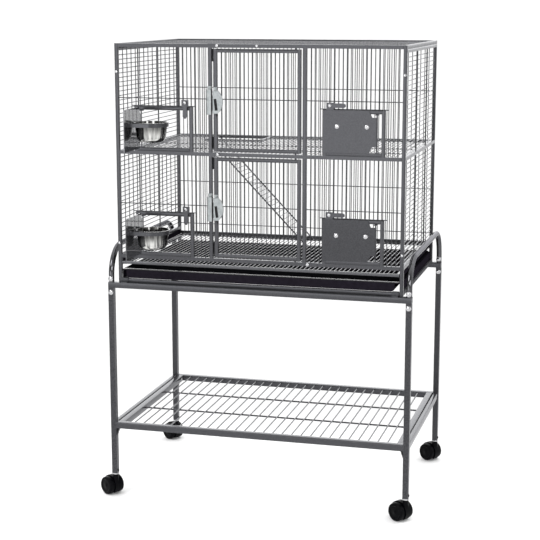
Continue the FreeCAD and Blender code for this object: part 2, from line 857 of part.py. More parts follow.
def leg_collar(x, y):
    """Bright ring under a leg round the caster stem."""
    low = Vector(x, y, caster_height - collar_height)
    ring = extruded(flat_rim(low, UP, collar_diameter, tube_sides), UP * collar_height)
    hole = flat_rim(low, UP, caster_stem + 2 * running_gap, tube_sides)
    return ring.cut(extruded(hole, UP * collar_height))


def storage_shelf():
    """Lower shelf: front and back rails, inner side members, wires and cross wires."""
    half_x = stand_width / 2 - leg_size
    z = storage_shelf_height + storage_rail / 2
    rail_y = stand_depth / 2 - storage_rail / 2
    inner_y = stand_depth / 2 - storage_rail
    side_x = leg_x - storage_stretcher / 2 - storage_rail_gap - storage_rail / 2
    inner_x = side_x - storage_rail / 2
    parts = []
    for side in (-1, 1):
        parts.append(across(-half_x, half_x, side * rail_y, z, storage_rail))
        parts.append(deep(side * side_x, -inner_y, inner_y, z, storage_rail))
    wire_z = z + storage_rail / 2 - storage_wire
    for x in spread(-inner_x, inner_x, storage_pitch):
        parts.append(deep(x, -inner_y, inner_y, wire_z, storage_wire))
    cross_z = wire_z - (storage_wire + storage_cross_wire) / 2
    for y in spread(-inner_y, inner_y, stand_depth / 3):
        parts.append(across(-inner_x, inner_x, y, cross_z, storage_cross_wire))
    return parts


def side_stretchers():
    """Bars between the front and back legs beside the storage shelf."""
    inner_y = stand_depth / 2 - leg_size
    half = storage_stretcher / 2
    z = (storage_shelf_height, storage_shelf_height + storage_rail)
    return [block((x - half, x + half), (-inner_y, inner_y), z) for x in (-leg_x, leg_x)]


def shelf_gussets():
    """Three-cornered blocks under the storage shelf rails against the legs."""
    parts = []
    for x, y in corners():
        side = 1 if x > 0 else -1
        face = side * (stand_width / 2 - leg_size)
        start = y - storage_stretcher / 2
        z = storage_shelf_height
        outline = [Vector(face, start, z), Vector(face - side * gusset_width, start, z),
                   Vector(face, start, z - gusset_drop)]
        parts.append(extruded(outline, BACK * storage_stretcher))
    return parts


def shelf_bolts():
    """Bolts through the inner side members near the shelf corners."""
    inner_x = leg_x - storage_stretcher / 2 - storage_rail_gap - storage_rail
    parts = []
    for x, y in corners():
        side = 1 if x > 0 else -1
        end = y - shelf_bolt_inset if y > 0 else y + shelf_bolt_inset
        spot = Vector(side * inner_x, end, storage_shelf_height + storage_rail / 2)
        parts.append(hex_head(spot, RIGHT * -side, panel_bolt_head, bolt_head_height))
    return parts


def stand_bolts():
    """Bolts on the front faces of the legs and of the bent tubes' feet."""
    parts = []
    for x, y in corners():
        on_leg = Vector(x, y - leg_size / 2, leg_top - stand_bolt_drop)
        on_tube = Vector(x, y - u_tube_size / 2, base_top)
        for spot in (on_leg, on_tube):
            parts.append(hex_head(spot, FORWARD, stand_bolt_head, stand_bolt_height))
    return parts


def grip_screws():
    """Dark screws low on the right face of each leg that grip the caster stems."""
    parts = []
    for x, y in corners():
        spot = Vector(x + leg_size / 2, y, caster_height + leg_size / 2)
        parts.append(hex_head(spot, RIGHT, panel_bolt_head, bolt_head_height))
    return parts


def hold_down_clips():
    """Folded clips that hook the cage's base rails to the stand rails."""
    parts = []
    for side in (-1, 1):
        rail_face = side * cage_depth / 2
        inner = rail_face - side * clip_hook
        outer = side * (stand_depth / 2 - clip_foot_gap)
        skin = rail_face + side * clip_sheet
        for x in (-post_inner + clip_sheet, post_inner - clip_sheet - clip_width):
            outline = [
                Vector(x, outer, cage_bottom),
                Vector(x, rail_face, cage_bottom),
                Vector(x, rail_face, base_top),
                Vector(x, inner, base_top),
                Vector(x, inner, base_top + clip_sheet),
                Vector(x, skin, base_top + clip_sheet),
                Vector(x, skin, cage_bottom + clip_sheet),
                Vector(x, outer, cage_bottom + clip_sheet),
            ]
            parts.append(extruded(outline, RIGHT * clip_width))
    return parts


def panel_bolts():
    """Bolts through the posts that join front and back to the sides, and one in the front top rail."""
    parts = [hex_head(Vector(0, front, top_rail), FORWARD, panel_bolt_head, bolt_head_height)]
    for x in (-post_x, post_x):
        for side in (-1, 1):
            for z in (lower_rail + panel_bolt_rise, top_rail - panel_bolt_drop):
                spot = Vector(x, side * cage_depth / 2, z)
                parts.append(hex_head(spot, BACK * side, panel_bolt_head, bolt_head_height))
    return parts


def placed_caster(shape, x, y):
    """Turn a caster piece to its heading and bring it under its leg."""
    copy = shape.copy()
    copy.rotate(ORIGIN, UP, caster_heading)
    copy.translate(Vector(x, y, 0))
    return copy


def caster_hood():
    """Drum between the wheels, flat below, with the boss and steel stem."""
    radius = wheel_diameter / 2
    axle = Vector(-caster_trail, -hood_width / 2, radius)
    drum = extruded(flat_rim(axle, BACK, 2 * hood_radius, 2 * tube_sides), BACK * hood_width)
    boss_top = caster_height - collar_height - seat_gap
    boss_rim = flat_rim(Vector(0, 0, radius), UP, caster_boss, tube_sides)
    hood = drum.fuse(extruded(boss_rim, UP * (boss_top - radius)))
    reach = 2 * hood_radius
    hood = hood.cut(block((-reach, reach), (-reach, reach), (-reach, hood_floor_gap)))
    hood = hood.cut(through_hole(axle, BACK, hood_width, wheel_axle))
    stem = rod(Vector(0, 0, boss_top), UP, collar_height + seat_gap + caster_stem_length, caster_stem)
    return [hood, stem]


def caster_wheels():
    """Two wheels on one axle."""
    radius = wheel_diameter / 2
    inner = hood_width / 2 + wheel_side_gap
    centre = Vector(-caster_trail, 0, radius)
    wheels = rod(centre + FORWARD * inner, BACK, 2 * inner, wheel_axle)
    for side in (FORWARD, BACK):
        wheels = wheels.fuse(rod(centre + side * inner, side, wheel_width, wheel_diameter))
    return [wheels.removeSplitter()]


def save_stand():
    frame = u_frame()
    save("right_u_frame", frame)
    save("left_u_frame", [mirrored(part) for part in frame])
    save("front_stand_rail", stand_rail(-1))
    save("back_stand_rail", stand_rail(1))
    save("stand_legs", [stand_leg(x, y) for x, y in corners()])
    save("leg_collars", [leg_collar(x, y) for x, y in corners()])
    save("side_stretchers", side_stretchers())
    save("storage_shelf", storage_shelf())
    save("shelf_gussets", shelf_gussets())
    save("shelf_bolts", shelf_bolts())
    save("stand_bolts", stand_bolts())
    save("caster_grip_screws", grip_screws())
    save("hold_down_clips", hold_down_clips())
    places = ("front_left", "front_right", "back_left", "back_right")
    for place, (x, y) in zip(places, corners()):
        save(place + "_caster_hood", [placed_caster(part, x, y) for part in caster_hood()])
        save(place + "_caster_wheels", [placed_caster(part, x, y) for part in caster_wheels()])


def save_cage():
    side = side_panel()
    runners = slide_runners()
    save("front_panel", front_panel())
    save("back_panel", back_panel())
    save("right_panel", side)
    save("left_panel", [mirrored(part) for part in side])
    save("top_panel", top_panel())
    save("panel_bolts", panel_bolts())
    save("slide_runners", runners + [mirrored(part) for part in runners])
    save("mid_shelf", mid_shelf())
    save("ramp", ramp())
    save("grate", grate())
    save("tray", tray())


def save_doors():
    keepers = []
    screws = [tab_screw(bolt) for bolt in (upper_door_bolt, lower_door_bolt, grate_bolt)]
    for level, floor in (("upper", upper_floor), ("lower", lower_floor)):
        save(level + "_door", door(floor))
        save(level + "_latch_cover", latch_cover(floor))
        save(level + "_latch_lever", latch_lever(floor))
        keepers += latch_keeper(floor)
        save(level + "_right_feeder_plate", feeder_plate(floor))
        save(level + "_right_bowl_ring", bowl_ring(floor))
        save(level + "_right_bowl", bowl(floor))
        save(level + "_left_feeder_plate", left_open(feeder_plate(floor)))
        save(level + "_left_bowl_ring", left_open(bowl_ring(floor)))
        save(level + "_left_bowl", left_open(bowl(floor)))
        for hand, side, turn in (("left", -1, 0), ("right", 1, -90)):
            bolt = feeder_tab_bolt(floor, side)
            save(level + "_" + hand + "_feeder_tab", turn_tab(feeder_tab_length, bolt, turn))
            screws.append(tab_screw(bolt))
    save("latch_keepers", keepers)
    save("upper_door_tab", turn_tab(door_tab_length, upper_door_bolt, 90))
    save("lower_door_tab", turn_tab(door_tab_length, lower_door_bolt, 90))
    save("grate_tab", turn_tab(grate_tab_length, grate_bolt, -90))
    save("turn_tab_bolts", screws)


os.makedirs("parts", exist_ok=True)
save_stand()
save_cage()
save_doors()
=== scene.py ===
import json
import math

import bmesh
import bpy
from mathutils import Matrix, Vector

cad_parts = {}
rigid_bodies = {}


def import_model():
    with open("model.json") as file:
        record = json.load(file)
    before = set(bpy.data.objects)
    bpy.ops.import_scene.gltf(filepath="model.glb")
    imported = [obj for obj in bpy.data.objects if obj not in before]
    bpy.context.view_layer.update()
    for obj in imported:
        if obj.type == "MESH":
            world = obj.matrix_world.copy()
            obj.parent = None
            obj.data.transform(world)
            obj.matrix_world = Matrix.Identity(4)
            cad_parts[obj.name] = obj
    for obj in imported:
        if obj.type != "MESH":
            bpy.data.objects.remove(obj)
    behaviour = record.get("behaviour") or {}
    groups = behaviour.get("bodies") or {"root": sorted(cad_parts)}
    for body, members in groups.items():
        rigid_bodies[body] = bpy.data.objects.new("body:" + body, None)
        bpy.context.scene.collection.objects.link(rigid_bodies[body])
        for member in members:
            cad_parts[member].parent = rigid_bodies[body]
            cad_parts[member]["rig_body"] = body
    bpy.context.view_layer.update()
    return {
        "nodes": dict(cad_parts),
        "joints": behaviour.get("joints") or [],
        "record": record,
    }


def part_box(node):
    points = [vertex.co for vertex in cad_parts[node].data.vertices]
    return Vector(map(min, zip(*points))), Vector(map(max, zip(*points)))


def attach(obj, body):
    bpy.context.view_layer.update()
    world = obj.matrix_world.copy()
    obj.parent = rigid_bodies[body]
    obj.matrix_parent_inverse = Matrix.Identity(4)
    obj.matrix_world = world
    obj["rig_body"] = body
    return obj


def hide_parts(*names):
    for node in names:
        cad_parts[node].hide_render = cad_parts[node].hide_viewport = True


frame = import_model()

MM = 0.001
WHITE = (1, 1, 1, 1)

# Directions in the frame; one whose Z is past the upright share counts as upright
UP = Vector((0, 0, 1))
ACROSS = Vector((1, 0, 0))
FORWARD = Vector((0, -1, 0))
UPRIGHT_SHARE = 0.9

# The photograph's camera: focal length in its pixels, place and angles in the frame
PHOTO_PX = 540
FOCAL_PX = 1410.33
SENSOR_MM = 36.0
CAMERA_AT = Vector((1.0192, -3.9428, 1.4047))
CAMERA_YAW = math.radians(14.963)
CAMERA_PITCH = math.radians(10.712)

# How the stored triangles are read: digits of a shared point, slack at the corners of a box
POINT_DIGITS = 6
CORNER_SLACK = 0.001 * MM
BOX_TRIANGLES = 12

# Square bars under the wire limit become round wires; the others get rounded long edges,
# wider on tubes than on sheet, that take no more than a share of the bar's thickness
WIRE_LIMIT = 6 * MM
SQUARE_LIMIT = 0.1 * MM
TUBE_LIMIT = 7 * MM
TUBE_EDGE = 1.3 * MM
SHEET_EDGE = 0.3 * MM
EDGE_SHARE = 0.45

# How finely round shapes are cut, and the angle past which an edge stays sharp
WIRE_SIDES = 12
CORNER_STEPS = 3
LATHE_STEPS = 72
DOME_STEPS = 5
DOME_SIDES = 24
TUBE_SIDES = 24
BEND_STEPS = 14
BOWL_CURVE_STEPS = 8
AXIS_GAP = 0.4 * MM
SHARP_ANGLE = math.radians(36)

# Sizes of the pieces that are turned or bent anew, as in the solids
TAB_BOLT_HEAD = 3 * MM
TAB_BOLT_RADIUS = 2.4 * MM
BOWL_RIM = 3.5 * MM
BOWL_WALL = 1.2 * MM
BOWL_FOOT = 22 * MM
BOWL_BELLY = 40 * MM
BOWL_BELLY_HEIGHT = 17 * MM
U_BEND = 80 * MM
WHEEL_INNER = 8.9 * MM
WHEEL_WIDTH = 16 * MM
AXLE_RADIUS = 3 * MM

# Domed bolt heads: how much of the height is a straight rim, how wide the flat top is
DOME_RIM_SHARE = 0.25
DOME_TIP_SHARE = 0.05

# Collars: how much of the height a chamfer takes
COLLAR_CHAMFER_SHARE = 0.2

# Wheels: depth of the dish in the outer side, shares of the radius between which it falls,
# how deep the axle's end lies, and the tread's round outer edge in dish depths from rim and side
WHEEL_DISH = 1.6 * MM
DISH_EDGE_SHARE = 0.7
DISH_FLOOR_SHARE = 0.65
AXLE_END = 0.4 * WHEEL_DISH
TREAD_EDGE = ((0, 3), (0.4, 1.5), (1.6, 0.4), (2.8, 0))

# A rim on the tray's front edge, which the solids leave out
RIM_DEPTH = 14 * MM
RIM_SHEET = 2 * MM
RIM_PROUD = 0.2 * MM

# A side panel's rails are low ones if they end less than this above the grate
LOW_RAIL_MARGIN = 6 * MM

# Powder coat: dark and light tone, mottle and dimples in waves per metre
COAT_TONES = ((0.026, 0.026, 0.028), (0.045, 0.045, 0.048))
COAT_TINT = (0.9, 0.92, 1, 1)
COAT_METALLIC = 0.15
COAT_MOTTLE = 420
DIMPLE_GRAIN = 700
DIMPLE_DEPTH = 0.25 * MM
COATS = {
    "coated_steel": dict(roughness=(0.14, 0.26), specular=0.5),
    "satin_coat": dict(roughness=(0.22, 0.34), specular=0.3),
    "grate_coat": dict(roughness=(0.15, 0.25), specular=0.6, clear=0.3),
    # Duller copy of the coat for the low side rails: painted shade
    "worn_coat": dict(roughness=(0.5, 0.65), specular=0.08),
    "gloss_coat": dict(roughness=(0.06, 0.12), specular=0.33),
    "polished_coat": dict(roughness=(0.05, 0.1), specular=0.8, clear=1, dimples=0.04),
}

# Plated metals, and the dark glossy coat of the bent tubes, which mirrors like them,
# only a little less at a glancing view
SCRATCHES_PER_GRAIN = 6
SCRATCH_STRENGTH = 0.05
SCRATCH_DEPTH = 0.1 * MM
METALS = {
    "bright_bolt": dict(tones=((0.36, 0.36, 0.37), (0.54, 0.54, 0.55)),
                        roughness=(0.18, 0.3), grain=220),
    "zinc_latch": dict(tones=((0.21, 0.23, 0.235), (0.32, 0.34, 0.345)),
                       roughness=(0.26, 0.38), grain=140, metallic=0.2),
    "tube_coat": dict(tones=((0.075, 0.075, 0.079), (0.11, 0.11, 0.116)),
                      roughness=(0.08, 0.16), grain=220, tint=(0.58, 0.58, 0.6, 1)),
}

# Spun steel of the bowls: streaks drawn out upwards, and a painted reflection that leaves the tone lighter
# low down and darker up the bowl's height
BOWL_TONES = ((0.12, 0.12, 0.12), (0.62, 0.62, 0.6))
BOWL_TONE_SPAN = (0.38, 0.62)
BOWL_ROUGHNESS = (0.06, 0.14)
# Painted reflection: scale on the streaked tone from the bowl's foot up to its rim
BOWL_PAINTED_REFLECTION = (1, 0.3)
BOWL_PAINTED_REFLECTION_SPAN = (0.3, 0.75)
STREAK_STRETCH = (1, 1, 0.04)
STREAK_GRAIN = 130
STREAK_STRENGTH = 0.25
STREAK_DEPTH = 0.5 * MM

# Black plastics, with a fine surface over a coarser cloud
SPECKS_PER_GRAIN = 9
SPECK_STRENGTH = 0.12
SPECK_DEPTH = 0.15 * MM
PLASTICS = {
    "black_tray": dict(tones=((0.010, 0.0085, 0.012), (0.014, 0.012, 0.017)),
                       roughness=(0.55, 0.65), specular=0, grain=90),
    # Darker copy of black_tray for the tray's inside: painted shade
    "tray_well": dict(tones=((0.003, 0.003, 0.0036), (0.006, 0.006, 0.007)),
                      roughness=(0.55, 0.65), specular=0, grain=90),
    "tray_rim": dict(tones=((0.003, 0.003, 0.004), (0.006, 0.006, 0.007)),
                     roughness=(0.1, 0.2), specular=0.15, grain=90),
    "black_caster": dict(tones=((0.001, 0.001, 0.0015), (0.002, 0.002, 0.003)),
                         roughness=(0.27, 0.37), specular=0.05, grain=120),
    "black_trim": dict(tones=((0.002, 0.002, 0.0025), (0.005, 0.005, 0.006)),
                       roughness=(0.35, 0.45), specular=0.2, grain=200),
}

# Studio floor, in metres, with painted light: lightest round a spot under the object, where it hides the
# object's own shadow, greyer from some way off
FLOOR_HALF = 300
FLOOR_DROP = 0.2 * MM
FLOOR_PAINTED_LIGHT_SPOT = Vector((0, -0.25, 0))
FLOOR_PAINTED_LIGHT_TONES = (0.97, 0.67)
FLOOR_PAINTED_LIGHT_REACH = (0.5, 1.1)
FLOOR_ROUGHNESS = 0.9

# Studio light: a white surround that is brightest behind and above the object, softboxes in front
BRIGHT_POLE = Vector((0, 0.8, 0.6))
SURROUND_STRENGTH = (0.3, 2.1)
SURROUND_SPAN = (-0.5, 0.9)
SOFTBOXES = {
    "key_light": dict(at=(-2.4, -3.6, 3.2), aim=(0, 0, 0.8), width=1.5, height=1.5, power=90),
    "fill_light": dict(at=(2.8, -3.2, 1.6), aim=(0, 0, 0.8), width=1.1, height=1.1, power=30),
    "front_card": dict(at=(-1.75, -6.5, 0.7), aim=(0, 0, 0.7), width=3.6, height=1.4, power=44),
    "head_light": dict(at=(0.2, -5.2, 2.1), aim=(0, 0, 0.8), width=1.4, height=0.9, power=40),
}

slot_of = {part["node"]: part["material_slot"] for part in frame["record"]["subparts"]}
joint_of = {joint["name"]: joint for joint in frame["joints"]}


# Materials

def new_material(name):
    """Node material with its shader and object coordinates."""
    made = bpy.data.materials.new(name)
    made.use_nodes = True
    nodes = made.node_tree.nodes
    coords = nodes.new("ShaderNodeTexCoord")
    return made, nodes["Principled BSDF"], coords.outputs["Object"]


def add_noise(made, coords, scale, detail):
    """Cloudy pattern."""
    noise = made.node_tree.nodes.new("ShaderNodeTexNoise")
    noise.inputs["Scale"].default_value = scale
    noise.inputs["Detail"].default_value = detail
    made.node_tree.links.new(coords, noise.inputs["Vector"])
    return noise.outputs["Fac"]


def add_cells(made, coords, scale):
    """Pattern of small round cells."""
    cells = made.node_tree.nodes.new("ShaderNodeTexVoronoi")
    cells.feature = "SMOOTH_F1"
    cells.inputs["Scale"].default_value = scale
    made.node_tree.links.new(coords, cells.inputs["Vector"])
    return cells.outputs["Distance"]


def ramp_colour(made, pattern, socket, tones, span=(0.3, 0.7)):
    """Leads a pattern into a colour socket, from the first tone to the second."""
    ramp = made.node_tree.nodes.new("ShaderNodeValToRGB")
    for element, tone, position in zip(ramp.color_ramp.elements, tones, span):
        element.position = position
        element.color = (*tone, 1)
    made.node_tree.links.new(pattern, ramp.inputs["Fac"])
    made.node_tree.links.new(ramp.outputs["Color"], socket)


def ramp_value(made, pattern, socket, values, span=(0, 1)):
    """Leads a pattern into a value socket, softly from the first value to the second."""
    ramp = made.node_tree.nodes.new("ShaderNodeMapRange")
    ramp.interpolation_type = "SMOOTHSTEP"
    ramp.inputs["From Min"].default_value = span[0]
    ramp.inputs["From Max"].default_value = span[1]
    ramp.inputs["To Min"].default_value = values[0]
    ramp.inputs["To Max"].default_value = values[1]
    made.node_tree.links.new(pattern, ramp.inputs["Value"])
    made.node_tree.links.new(ramp.outputs["Result"], socket)


def add_bump(made, pattern, shader, strength, depth):
    """Raises the surface by a pattern."""
    bump = made.node_tree.nodes.new("ShaderNodeBump")
    bump.inputs["Strength"].default_value = strength
    bump.inputs["Distance"].default_value = depth
    made.node_tree.links.new(pattern, bump.inputs["Height"])
    made.node_tree.links.new(bump.outputs["Normal"], shader.inputs["Normal"])


def coated_steel(name, roughness, specular, clear=0, dimples=0.2):
    """Dark grey powder coat: finely mottled tone, dimpled gloss, a clear layer where it is polished."""
    made, shader, coords = new_material(name)
    mottle = add_noise(made, coords, COAT_MOTTLE, detail=3)
    ramp_colour(made, mottle, shader.inputs["Base Color"], COAT_TONES)
    ramp_value(made, mottle, shader.inputs["Roughness"], roughness)
    shader.inputs["Specular IOR Level"].default_value = specular
    shader.inputs["Specular Tint"].default_value = COAT_TINT
    shader.inputs["Metallic"].default_value = COAT_METALLIC
    shader.inputs["Coat Weight"].default_value = clear
    add_bump(made, add_cells(made, coords, DIMPLE_GRAIN), shader, dimples, DIMPLE_DEPTH)
    return made


def bright_metal(name, tones, roughness, grain, metallic=1, tint=WHITE):
    """Plated or polished metal with faint clouding and fine scratches."""
    made, shader, coords = new_material(name)
    cloud = add_noise(made, coords, grain, detail=6)
    ramp_colour(made, cloud, shader.inputs["Base Color"], tones)
    ramp_value(made, cloud, shader.inputs["Roughness"], roughness)
    shader.inputs["Metallic"].default_value = metallic
    shader.inputs["Specular Tint"].default_value = tint
    scratches = add_noise(made, coords, grain * SCRATCHES_PER_GRAIN, detail=2)
    add_bump(made, scratches, shader, SCRATCH_STRENGTH, SCRATCH_DEPTH)
    return made


def spun_steel(name):
    """Polished steel with upright streaks in its tone and surface, and a painted reflection: lighter low
    down, darker towards the rim.
    """
    made, shader, coords = new_material(name)
    nodes = made.node_tree.nodes
    links = made.node_tree.links
    stretch = nodes.new("ShaderNodeVectorMath")
    stretch.operation = "MULTIPLY"
    stretch.inputs[1].default_value = STREAK_STRETCH
    links.new(coords, stretch.inputs[0])
    streaks = add_noise(made, stretch.outputs["Vector"], STREAK_GRAIN, detail=3)
    height = nodes.new("ShaderNodeSeparateXYZ")
    links.new(coords.node.outputs["Generated"], height.inputs["Vector"])
    tone = nodes.new("ShaderNodeVectorMath")
    tone.operation = "SCALE"
    ramp_colour(made, streaks, tone.inputs[0], BOWL_TONES, BOWL_TONE_SPAN)
    # Painted reflection: the streaked tone is scaled down up the bowl's height, so the lower part is
    # lighter
    ramp_value(made, height.outputs["Z"], tone.inputs["Scale"], BOWL_PAINTED_REFLECTION, BOWL_PAINTED_REFLECTION_SPAN)
    links.new(tone.outputs["Vector"], shader.inputs["Base Color"])
    ramp_value(made, streaks, shader.inputs["Roughness"], BOWL_ROUGHNESS)
    shader.inputs["Metallic"].default_value = 1
    add_bump(made, streaks, shader, STREAK_STRENGTH, STREAK_DEPTH)
    return made


def black_plastic(name, tones, roughness, specular, grain):
    """Moulded black plastic with a fine grain."""
    made, shader, coords = new_material(name)
    cloud = add_noise(made, coords, grain, detail=4)
    ramp_colour(made, cloud, shader.inputs["Base Color"], tones)
    ramp_value(made, cloud, shader.inputs["Roughness"], roughness)
    shader.inputs["Specular IOR Level"].default_value = specular
    specks = add_noise(made, coords, grain * SPECKS_PER_GRAIN, detail=2)
    add_bump(made, specks, shader, SPECK_STRENGTH, SPECK_DEPTH)
    return made


def floor_with_painted_light():
    """Pale floor with a painted pool of light: lightest under the object, where the object's own shade
    falls.
    """
    made, shader, coords = new_material("floor_with_painted_light")
    reach = made.node_tree.nodes.new("ShaderNodeVectorMath")
    reach.operation = "DISTANCE"
    reach.inputs[1].default_value = FLOOR_PAINTED_LIGHT_SPOT
    made.node_tree.links.new(coords, reach.inputs[0])
    # Painted light: the floor's tone is lightest near the spot and greyer further off
    ramp_value(made, reach.outputs["Value"], shader.inputs["Base Color"], FLOOR_PAINTED_LIGHT_TONES, FLOOR_PAINTED_LIGHT_REACH)
    shader.inputs["Roughness"].default_value = FLOOR_ROUGHNESS
    return made


MATERIALS = {"stainless_bowl": spun_steel("stainless_bowl")}
for make, looks in ((coated_steel, COATS), (bright_metal, METALS), (black_plastic, PLASTICS)):
    for material_name, look in looks.items():
        MATERIALS[material_name] = make(material_name, **look)


# Solids of a node and the shapes that stand for them

def point_key(point):
    """Rounded coordinates, the same for every face that meets in the point."""
    return tuple(round(v, POINT_DIGITS) for v in point)


def closed_solids(node):
    """The node's triangles, split into the closed solids they make up, in stored order.

    A solid is complete when each of its edges has met a second face.
    """
    mesh = frame["nodes"][node].data
    solids = []
    current = []
    open_edges = set()
    for face in mesh.polygons:
        points = [mesh.vertices[i].co.copy() for i in face.vertices]
        keys = [point_key(p) for p in points]
        current.append(points)
        for i, key in enumerate(keys):
            open_edges ^= {frozenset((key, keys[i - 1]))}
        if not open_edges:
            solids.append(current)
            current = []
    return solids


def corners_of(solid):
    """Low and high corner of the box round a solid."""
    points = [p for face in solid for p in face]
    low = Vector(min(p[i] for p in points) for i in range(3))
    high = Vector(max(p[i] for p in points) for i in range(3))
    return low, high


def is_box(solid, low, high):
    """True if every point of the solid is a corner of the box round it."""
    on_corner = all(min(abs(p[i] - low[i]), abs(p[i] - high[i])) < CORNER_SLACK
                    for face in solid for p in face for i in range(3))
    return on_corner and len(solid) == BOX_TRIANGLES


def cross_axes(axis):
    """Two directions square to a direction."""
    side = axis.cross(UP if abs(axis.z) < UPRIGHT_SHARE else ACROSS).normalized()
    return side, axis.cross(side).normalized()


def circle(centre, side, up, radius, sides):
    """Points round a centre, in the plane of two directions."""
    turns = [2 * math.pi * i / sides for i in range(sides)]
    return [centre + (side * math.cos(t) + up * math.sin(t)) * radius for t in turns]


def add_loops(shape, loops, material):
    """Skin over a row of closed loops of points, shut at both ends."""
    rows = [[shape.verts.new(p) for p in loop] for loop in loops]
    count = len(rows[0])
    for low, high in zip(rows, rows[1:]):
        for i in range(count):
            face = shape.faces.new((low[i - 1], low[i], high[i], high[i - 1]))
            face.material_index = material
            face.smooth = True
    for row in (rows[0][::-1], rows[-1]):
        face = shape.faces.new(row)
        face.material_index = material


def add_rod(shape, start, end, radius, material=0):
    """Round rod between two points."""
    side, up = cross_axes((end - start).normalized())
    loops = [circle(point, side, up, radius, WIRE_SIDES) for point in (start, end)]
    add_loops(shape, loops, material)


def rounded_section(width, height, radius):
    """Rectangle with round corners about its centre."""
    points = []
    for quarter in range(4):
        side = 1 if quarter in (0, 3) else -1
        level = 1 if quarter in (0, 1) else -1
        centre_x = side * (width / 2 - radius)
        centre_y = level * (height / 2 - radius)
        for step in range(CORNER_STEPS + 1):
            turn = math.pi / 2 * (quarter + step / CORNER_STEPS)
            points.append((centre_x + radius * math.cos(turn), centre_y + radius * math.sin(turn)))
    return points


def add_bar(shape, low, high, edge, material=0):
    """Bar along its longest side with rounded long edges."""
    size = high - low
    axis = max(range(3), key=lambda i: size[i])
    a, b = [i for i in range(3) if i != axis]
    middle = (low + high) / 2
    section = rounded_section(size[a], size[b], min(edge, EDGE_SHARE * min(size[a], size[b])))
    loops = []
    for end in (low[axis], high[axis]):
        loop = []
        for u, v in section:
            point = middle.copy()
            point[axis] = end
            point[a] += u
            point[b] += v
            loop.append(point)
        loops.append(loop)
    add_loops(shape, loops, material)


def add_wire_or_bar(shape, low, high, material=0):
    """Thin square bars become round wires, the others get rounded long edges."""
    size = high - low
    axis = max(range(3), key=lambda i: size[i])
    a, b = [size[i] for i in range(3) if i != axis]
    middle = (low + high) / 2
    if max(a, b) < WIRE_LIMIT and abs(a - b) < SQUARE_LIMIT:
        start, end = middle.copy(), middle.copy()
        start[axis], end[axis] = low[axis], high[axis]
        add_rod(shape, start, end, a / 2, material)
    else:
        add_bar(shape, low, high, TUBE_EDGE if min(a, b) > TUBE_LIMIT else SHEET_EDGE, material)


def add_solid(shape, solid, material=0):
    """A solid as it is, its points shared between faces. Faces too thin to have three points drop out."""
    known = {}
    for face in solid:
        corners = []
        for p in face:
            key = point_key(p)
            if key not in known:
                known[key] = shape.verts.new(p)
            if known[key] not in corners:
                corners.append(known[key])
        if len(corners) > 2:
            made = shape.faces.new(corners)
            made.smooth = True
            made.material_index = material


def add_lathe(shape, profile, centre, axis, material=0, steps=LATHE_STEPS):
    """Turned shape: radius and height along the axis, from one end to the other."""
    side, up = cross_axes(axis)
    loops = [circle(centre + axis * height, side, up, radius, steps) for radius, height in profile]
    add_loops(shape, loops, material)


def add_dome(shape, base, axis, radius, height, material=0):
    """Round-headed bolt on a short rim."""
    rim = DOME_RIM_SHARE * height
    profile = [(radius, 0), (radius, rim)]
    for i in range(1, DOME_STEPS):
        turn = math.pi / 2 * i / DOME_STEPS
        profile.append((radius * math.cos(turn), rim + (height - rim) * math.sin(turn)))
    profile.append((radius * DOME_TIP_SHARE, height))
    add_lathe(shape, profile, base, axis, material, DOME_SIDES)


def finish_piece(node, shape, materials):
    """Turns the shape into a piece that stands for a CAD node and rides on its body."""
    name = node + "_look"
    bmesh.ops.recalc_face_normals(shape, faces=shape.faces)
    for edge in shape.edges:
        if len(edge.link_faces) == 2 and edge.calc_face_angle(0) > SHARP_ANGLE:
            edge.smooth = False
    mesh = bpy.data.meshes.new(name)
    shape.to_mesh(mesh)
    shape.free()
    for slot in materials:
        mesh.materials.append(MATERIALS[slot])
    piece = bpy.data.objects.new(name, mesh)
    bpy.context.scene.collection.objects.link(piece)
    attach(piece, frame["nodes"][node]["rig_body"])
    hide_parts(node)


# Pieces

def coat_of(node):
    """The finish of a node that is only smoothed.

    The runners take the tray's black as painted shade, roof and legs have a satin coat, grate and feeder
    plates shine. The plates that stand open show their polished inner side.
    """
    # Painted shade: the runners are given the tray's black plastic in place of their coat
    if node == "slide_runners":
        return "black_tray"
    if node == "grate":
        return "grate_coat"
    if node in ("top_panel", "stand_legs"):
        return "satin_coat"
    if node.endswith("_left_feeder_plate"):
        return "polished_coat"
    if node.endswith("_feeder_plate"):
        return "gloss_coat"
    return slot_of[node]


def smoothed(node, dull_below=0):
    """Smoothed solids of a node: round wires, tube corners.

    Those that lie below a height get the second material.
    """
    shape = bmesh.new()
    for solid in closed_solids(node):
        low, high = corners_of(solid)
        material = 1 if high.z < dull_below else 0
        if is_box(solid, low, high):
            add_wire_or_bar(shape, low, high, material)
        else:
            add_solid(shape, solid, material)
    return shape


def dress(node):
    """A node's own solids, smoothed, in one finish."""
    finish_piece(node, smoothed(node), [coat_of(node)])


def dress_side(node):
    """Side panel whose low rails, down by the tray, get a duller, less reflective copy of the coat as
    painted shade.
    """
    tray_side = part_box("grate")[1][2] + LOW_RAIL_MARGIN
    finish_piece(node, smoothed(node, tray_side), [coat_of(node), "worn_coat"])


